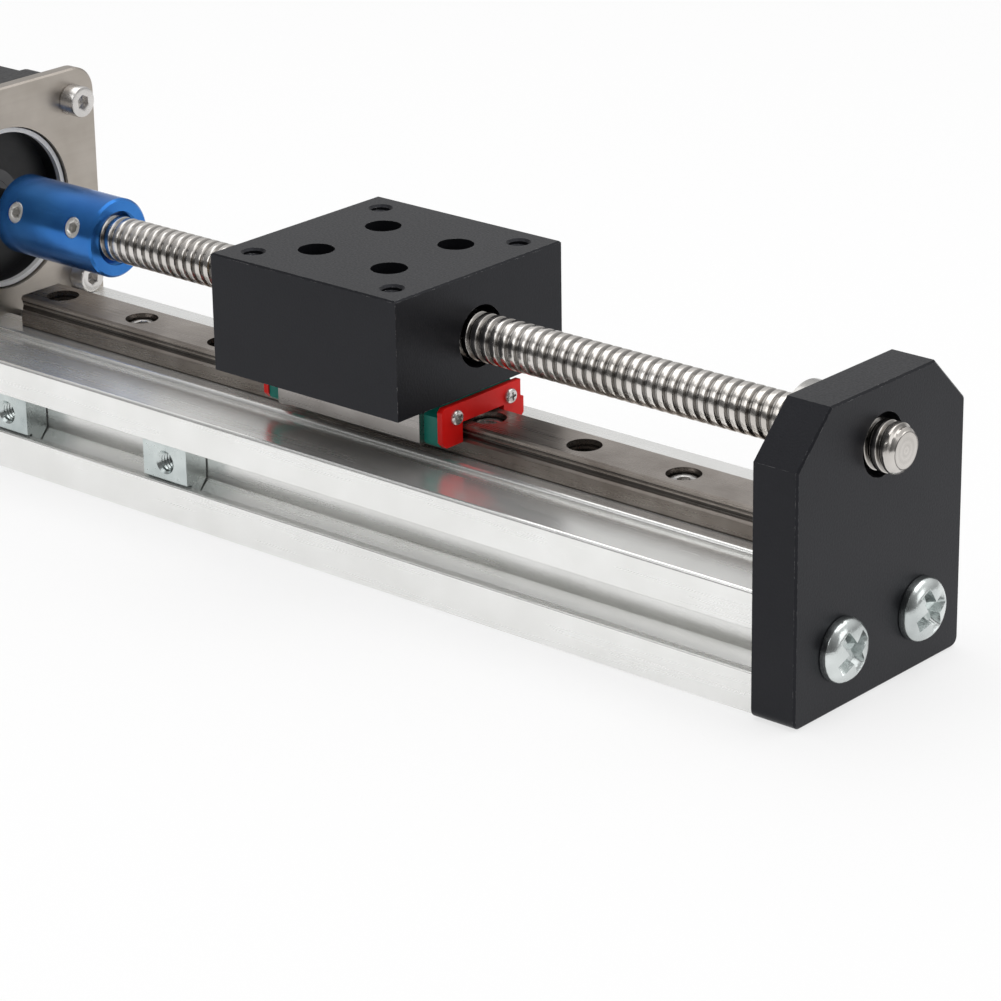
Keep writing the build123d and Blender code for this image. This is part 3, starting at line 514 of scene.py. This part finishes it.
def turned(name, node, seats, rings, look, body, around=64):
    """One mesh with a turned solid on each seat, which is a point, an outward axis and a turn."""
    bm = bmesh.new()
    for point, axis, turn in seats:
        outward = Vector(axis)
        first = outward.orthogonal().normalized()
        second = outward.cross(first)
        loops = []
        for shape, height in rings:
            loop = []
            for step in range(around):
                angle = 2 * pi * step / around
                reach = shape(angle - turn)
                level = height(reach) if callable(height) else height
                offset = first * (reach * cos(angle)) + second * (reach * sin(angle)) + outward * level
                loop.append(bm.verts.new(Vector(point) + offset * MM))
            loops.append(loop)
        for low, high in zip(loops, loops[1:]):
            for step in range(around):
                after = (step + 1) % around
                bm.faces.new((low[step], low[after], high[after], high[step]))
        bm.faces.new(list(reversed(loops[0])))
        bm.faces.new(loops[-1])
    bmesh.ops.recalc_face_normals(bm, faces=bm.faces)
    crease(bm, 32)
    obj = piece(name, bm, look, body)
    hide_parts(node)


def socket_rings(head_d, head_h, shank_d, shank_l, socket, edge):
    """Socket head cap screw with a rounded rim and a hexagonal socket."""
    depth = head_h / 2
    return (
        (circle(shank_d / 2 - 0.3), -shank_l), (circle(shank_d / 2), -shank_l + 0.3),
        (circle(shank_d / 2), 0.0),
        (circle(head_d / 2 - 0.15), 0.0), (circle(head_d / 2), 0.15), (circle(head_d / 2), head_h - edge),
        (circle(head_d / 2 - edge * 0.3), head_h - edge * 0.3), (circle(head_d / 2 - edge), head_h),
        (circle(socket * 0.66), head_h), (hexagon(socket), head_h - 0.12), (hexagon(socket), head_h - depth),
        (circle(0.1), head_h - depth - 0.25),
    )


# Plate screws: large pan heads with a cross, rings as pairs of a shape and a height in mm
crown = dome(3.88, 0.034)
cross_mouth = cross(9.2, 2.9)
zinc_rings = (
    (circle(2.15), -26.0), (circle(2.45), -25.6), (circle(2.45), 0.0), (circle(6.25), 0.0),
    (circle(6.4), 0.15), (circle(6.4), 1.3), (circle(6.32), 1.6), (circle(6.05), 2.1), (circle(5.6), 2.6),
    (circle(5.1), crown), (beside(cross_mouth, 0.18, 4.2), crown), (beside(cross_mouth, 0.12, 3.2), crown),
    (beside(cross_mouth, 0.06, 2.4), crown), (cross_mouth, crown), (cross(8.4, 2.4), 2.5),
    (cross(6.0, 1.9), 1.6), (circle(0.6), 1.5),
)
core_hole_y = 12.5 * MM
core_hole_z = 12.25 * MM
end_plate_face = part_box("end_plate")[1][0]
motor_plate_back, motor_plate_front = (corner[0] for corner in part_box("motor_plate"))
for plate, face, outward, near_turn, far_turn in (
    ("end_plate", end_plate_face, 1, -11, -21), ("motor_plate", motor_plate_back, -1, 8, 37),
):
    turned(
        plate + "_pan_screws", plate + "_screws",
        [
            ((face, -core_hole_y, core_hole_z), (outward, 0, 0), radians(near_turn)),
            ((face, core_hole_y, core_hole_z), (outward, 0, 0), radians(far_turn)),
        ],
        zinc_rings, zinc, "base", 96,
    )

# Motor screws
bolt_reach = 20.5 * MM
turned(
    "motor_socket_screws", "motor_screws",
    [
        (
            (motor_plate_front, y * bolt_reach, axis_z + z * bolt_reach),
            (1, 0, 0),
            radians(12 * y + 7 * z),
        )
        for y in (-1, 1) for z in (-1, 1)
    ],
    socket_rings(head_d=7.0, head_h=4.0, shank_d=4.0, shank_l=10.0, socket=3.0, edge=0.5),
    steel_screw, "base",
)

# Table screws, down in their counterbores
table_low, table_high = (Vector(corner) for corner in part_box("carriage_table"))
table_x = (table_low.x + table_high.x) / 2
table_screw_reach = 10.0 * MM
table_seat_z = table_high.z - 9.7 * MM
turned(
    "table_socket_screws", "table_screws",
    [
        (
            (table_x + x * table_screw_reach, y * table_screw_reach, table_seat_z),
            (0, 0, 1),
            radians(14 * x + 9 * y),
        )
        for x in (-1, 1) for y in (-1, 1)
    ],
    socket_rings(head_d=7.0, head_h=4.0, shank_d=4.0, shank_l=20.0, socket=3.0, edge=0.4),
    oxide, "carriage",
)

# Rail screws, in every second hole from the end plate's side
first_hole_x = rail_high.x - 10.8 * MM
hole_pitch = 25.0 * MM
rail_seat_z = rail_high.z - 4.0 * MM
turned(
    "rail_socket_screws", "rail_screws",
    [
        ((first_hole_x - hole * hole_pitch, 0.0, rail_seat_z), (0, 0, 1), radians(11 * hole))
        for hole in (1, 3, 5, 7)
    ],
    socket_rings(head_d=5.5, head_h=3.0, shank_d=3.0, shank_l=8.0, socket=2.5, edge=0.35),
    steel_screw, "base", 48,
)

# Seal screws
seal_rings = (
    (circle(0.75), -5.2), (circle(0.8), -5.0), (circle(0.8), 0.0), (circle(1.6), 0.0), (circle(1.6), 0.35),
    (circle(1.5), 0.6), (circle(1.3), 0.8), (circle(1.15), 0.88), (cross(1.9, 0.5), 0.88),
    (cross(1.6, 0.4), 0.3), (circle(0.1), 0.2),
)
seal_screw_y = 8.2 * MM
seal_screw_z = table_low.z - 3.6 * MM
front_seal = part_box("front_end_seal")[1][0]
rear_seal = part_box("rear_end_seal")[0][0]
turned(
    "seal_cross_screws", "seal_screws",
    [((front_seal, y * seal_screw_y, seal_screw_z), (1, 0, 0), radians(20 + 30 * y)) for y in (-1, 1)]
    + [((rear_seal, y * seal_screw_y, seal_screw_z), (-1, 0, 0), radians(5 + 25 * y)) for y in (-1, 1)],
    seal_rings, steel_screw, "carriage", 48,
)

# Coupling's grub screws: the motor side's is longer
tilt = radians(22)
grub_axis = Vector((0.0, -cos(tilt), sin(tilt)))
grub_radius = 2.4
grub_seat_radius = 8.45 * MM
grub_low, grub_high = (Vector(corner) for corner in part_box("coupling_grub_screws"))
for end, x, length in (
    ("motor", grub_low.x + grub_radius * MM, 5.95), ("screw", grub_high.x - grub_radius * MM, 3.45),
):
    grub_rings = (
        (circle(2.0), -length), (circle(grub_radius), 0.3 - length), (circle(grub_radius), -0.25),
        (circle(2.15), 0.0), (circle(1.45), 0.0), (hexagon(2.3), -0.12), (hexagon(2.3), -2.9),
        (circle(0.1), -3.1),
    )
    seat = Vector((x, 0.0, axis_z)) + grub_axis * grub_seat_radius
    turned(
        f"coupling_grub_{end}_end", "coupling_grub_screws", [(seat, grub_axis, radians(10))],
        grub_rings, grub_metal, "screw", 48,
    )


# Inner threads of the tapped holes

def inner_thread(name, point, axis, radius, pitch, turns, look, body, around=36):
    """A helical ridge on a hole's wall, starting at a point and running against the outward axis."""
    bm = bmesh.new()
    outward = Vector(axis)
    first = outward.orthogonal().normalized()
    second = outward.cross(first)
    ridge = ((radius + 0.03, -0.38 * pitch), (radius - 0.3, 0.0), (radius + 0.03, 0.38 * pitch))
    loops = []
    for step in range(int(turns * around) + 1):
        angle = 2 * pi * step / around
        drop = (step / around + 0.4) * pitch
        loops.append([
            bm.verts.new(
                Vector(point)
                + (first * cos(angle) - second * sin(angle)) * (reach * MM)
                - outward * ((drop + shift) * MM)
            )
            for reach, shift in ridge
        ])
    for here, after in zip(loops, loops[1:]):
        for j in range(3):
            k = (j + 1) % 3
            bm.faces.new((here[j], after[j], after[k], here[k]))
    bm.faces.new(loops[0])
    bm.faces.new(list(reversed(loops[-1])))
    bmesh.ops.recalc_face_normals(bm, faces=bm.faces)
    piece(name, bm, look, body, smooth=False)


core_radius = 2.1
thread_pitch = 0.8
corner_reach = 19.0 * MM
corner_thread_z = table_high.z - 0.45 * MM
for x, x_name in ((-1, "rear"), (1, "front")):
    for y, y_name in ((-1, "near"), (1, "far")):
        inner_thread(
            f"corner_thread_{y_name}_{x_name}",
            (table_x + x * corner_reach, y * corner_reach, corner_thread_z),
            (0, 0, 1), core_radius, thread_pitch, 9, black, "carriage",
        )
slot_z = 12.9 * MM
slot_nut_inset = 0.35 * MM
for node in [name for name in nodes if name.startswith("slot_nut")]:
    low, high = (Vector(corner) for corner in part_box(node))
    side = -1 if "near" in node else 1
    face_y = low.y if side < 0 else high.y
    inner_thread(
        node + "_inner_thread",
        ((low.x + high.x) / 2, face_y - side * slot_nut_inset, slot_z),
        (0, side, 0), core_radius, thread_pitch, 5.5, slot_shaded_zinc, node,
    )


# Floor: a camera or glossy ray sees it mostly as plain white, with the object's shadow left in

floor_white_share = 0.72
floor_drop = 0.2 * MM
floor_bm = bmesh.new()
bmesh.ops.create_grid(floor_bm, x_segments=2, y_segments=2, size=6.0)
floor_mesh = bpy.data.meshes.new("floor")
floor_bm.to_mesh(floor_mesh)
floor_bm.free()
floor = bpy.data.objects.new("floor", floor_mesh)
floor.location = (0.0, 0.0, cad_box[0][2] - floor_drop)
bpy.context.scene.collection.objects.link(floor)
floor_mat, floor_tree, floor_bsdf = material("pale_floor")
put(floor_bsdf, Roughness=0.6, Specular_IOR_Level=0.2)
floor_tone = noise(floor_tree, coords(floor_tree, EVEN), 3.0, 2.0)
floor_colour = two_tone(floor_tree, floor_tone, (0.93, 0.93, 0.93), (0.95, 0.95, 0.95))
floor_tree.links.new(floor_colour, floor_bsdf.inputs["Base Color"])
floor_path = floor_tree.nodes.new("ShaderNodeLightPath")
floor_seen = floor_tree.nodes.new("ShaderNodeMath")
floor_seen.operation = "MAXIMUM"
floor_tree.links.new(floor_path.outputs["Is Camera Ray"], floor_seen.inputs[0])
floor_tree.links.new(floor_path.outputs["Is Glossy Ray"], floor_seen.inputs[1])
floor_white = floor_tree.nodes.new("ShaderNodeEmission")
floor_mix = floor_tree.nodes.new("ShaderNodeMixShader")
floor_share = spread(floor_tree, floor_seen.outputs["Value"], 0.0, floor_white_share, 0.0, 1.0)
floor_tree.links.new(floor_share, floor_mix.inputs["Fac"])
floor_tree.links.new(floor_bsdf.outputs["BSDF"], floor_mix.inputs[1])
floor_tree.links.new(floor_white.outputs["Emission"], floor_mix.inputs[2])
floor_tree.links.new(floor_mix.outputs["Shader"], floor_tree.nodes["Material Output"].inputs["Surface"])
floor_mesh.materials.append(floor_mat)


# Lights and surroundings

def area_light(name, place, target, power, size, size_y):
    """A soft rectangular light aimed at a point, its power in watts."""
    data = bpy.data.lights.new(name, "AREA")
    data.shape = "RECTANGLE"
    data.size = size
    data.size_y = size_y
    data.energy = power
    light = bpy.data.objects.new(name, data)
    light.location = place
    light.rotation_euler = (Vector(target) - Vector(place)).to_track_quat("-Z", "Y").to_euler()
    bpy.context.scene.collection.objects.link(light)


area_light("top_softbox", (-0.05, 0.15, 1.2), (0.0, 0.0, 0.0), power=8.5, size=1.6, size_y=1.2)
area_light("front_softbox", (-0.35, -1.1, 0.95), (0.0, 0.0, 0.04), power=3.2, size=0.9, size_y=0.6)
area_light("right_softbox", (1.2, 0.2, 0.6), (0.1, 0.0, 0.04), power=1.6, size=0.7, size_y=0.7)

# World: bright behind and above, darker towards the viewer, plain white where the camera
# looks past everything
world = bpy.data.worlds.new("studio")
bpy.context.scene.world = world
world.use_nodes = True
tree = world.node_tree
tree.nodes.clear()
out = tree.nodes.new("ShaderNodeOutputWorld")
source = tree.nodes.new("ShaderNodeTexCoord")
split = tree.nodes.new("ShaderNodeSeparateXYZ")
tree.links.new(source.outputs["Generated"], split.inputs["Vector"])
lift = spread(tree, split.outputs["Z"], 0.0, 1.0, clip_low=-1.0, clip_high=1.0)
shade = tree.nodes.new("ShaderNodeBackground")
tree.links.new(bands(tree, lift, ((0.0, 0.60), (0.53, 0.30), (1.0, 0.75))), shade.inputs["Color"])
away = spread(tree, split.outputs["Y"], 0.35, 1.5, clip_low=-0.7, clip_high=0.7)
tree.links.new(away, shade.inputs["Strength"])
white = tree.nodes.new("ShaderNodeBackground")
white.inputs["Color"].default_value = (1.0, 1.0, 1.0, 1.0)
path = tree.nodes.new("ShaderNodeLightPath")
mix = tree.nodes.new("ShaderNodeMixShader")
tree.links.new(path.outputs["Is Camera Ray"], mix.inputs["Fac"])
tree.links.new(shade.outputs["Background"], mix.inputs[1])
tree.links.new(white.outputs["Background"], mix.inputs[2])
tree.links.new(mix.outputs["Shader"], out.inputs["Surface"])

# Camera, fitted to the photograph
camera_data = bpy.data.cameras.new("camera")
camera_data.sensor_width = 36.0
camera_data.lens = 139.47
camera_data.clip_start = 0.01
camera_data.clip_end = 50.0
camera = bpy.data.objects.new("camera", camera_data)
camera_place = (0.534006, -0.548740, 0.301318)
right = Vector((0.754973, 0.655584, -0.014977))
forward = Vector((-0.614499, 0.699318, -0.365165))
facing = Matrix((right, right.cross(forward), -forward)).transposed().to_4x4()
camera.matrix_world = Matrix.Translation(camera_place) @ facing
bpy.context.scene.collection.objects.link(camera)
bpy.context.scene.camera = camera
bpy.context.scene.view_settings.view_transform = "Standard"
